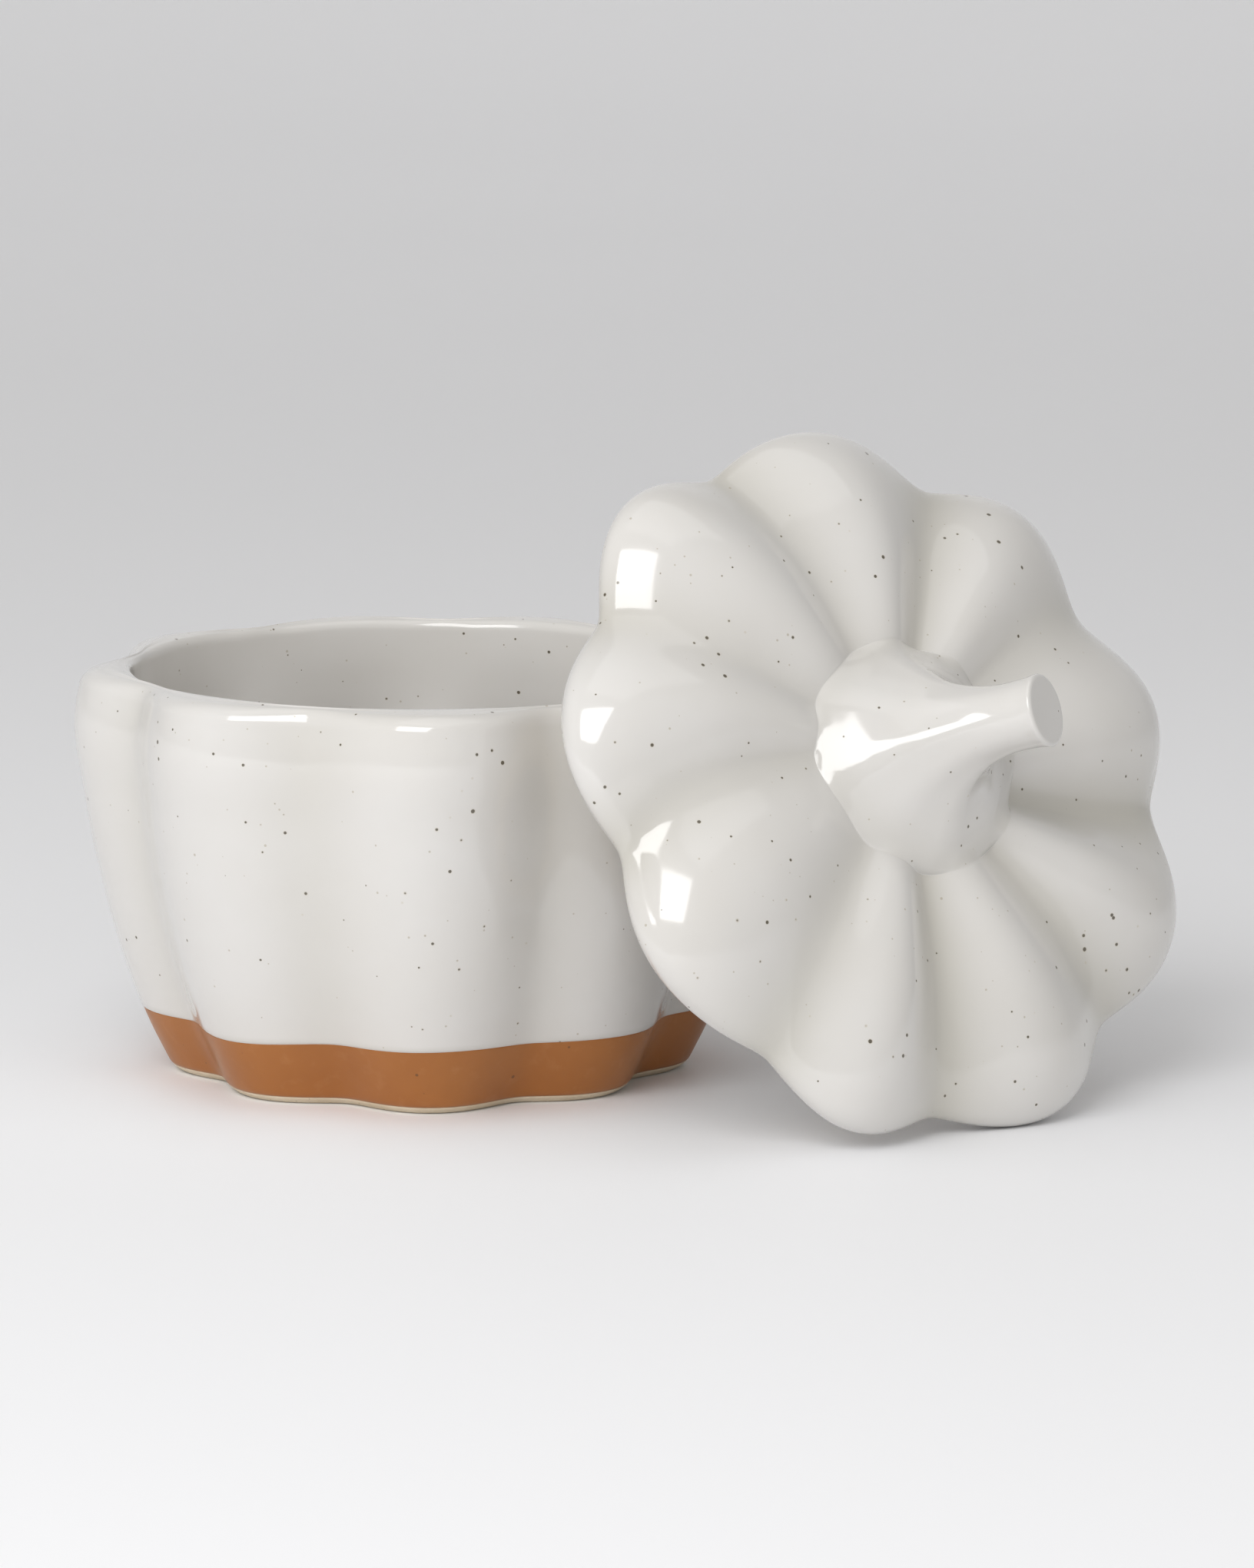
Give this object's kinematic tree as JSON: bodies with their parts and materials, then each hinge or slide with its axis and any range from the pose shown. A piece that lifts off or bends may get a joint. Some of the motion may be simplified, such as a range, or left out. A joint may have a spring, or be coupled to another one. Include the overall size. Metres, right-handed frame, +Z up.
{
  "type": "lidded pumpkin dish",
  "caption": "Lobed pumpkin-shaped ceramic bowl with a brown foot band, and its loose domed lid with a curved stem handle leaning on the rim.",
  "frame": {"origin": "centre of the bowl's foot face, on the surface that the bowl stands on", "axes": "+Z up along the bowl's axis; -Y is the front, and the lid leans at the front right, towards +X and -Y"},
  "size_m": [0.234, 0.177, 0.1385],
  "materials": {
    "white_speckled_glaze": "glossy off-white glaze with sparse dark iron specks",
    "brown_glaze": "satin caramel-brown glaze",
    "raw_clay": "unglazed cream stoneware, wiped and matt"
  },
  "bodies": {
    "bowl": {"bowl_casting": "white_speckled_glaze", "foot_band_glaze": "brown_glaze", "foot_ring": "raw_clay"},
    "lid": {"lid_casting": "white_speckled_glaze", "seat_flange": "raw_clay", "stem_handle": "white_speckled_glaze"}
  },
  "joints": [
    {"name": "lid_lift", "type": "slide", "parent": "bowl", "child": "lid", "axis": [0, 0, 1], "range_m": [0, 0.12]}
  ]
}
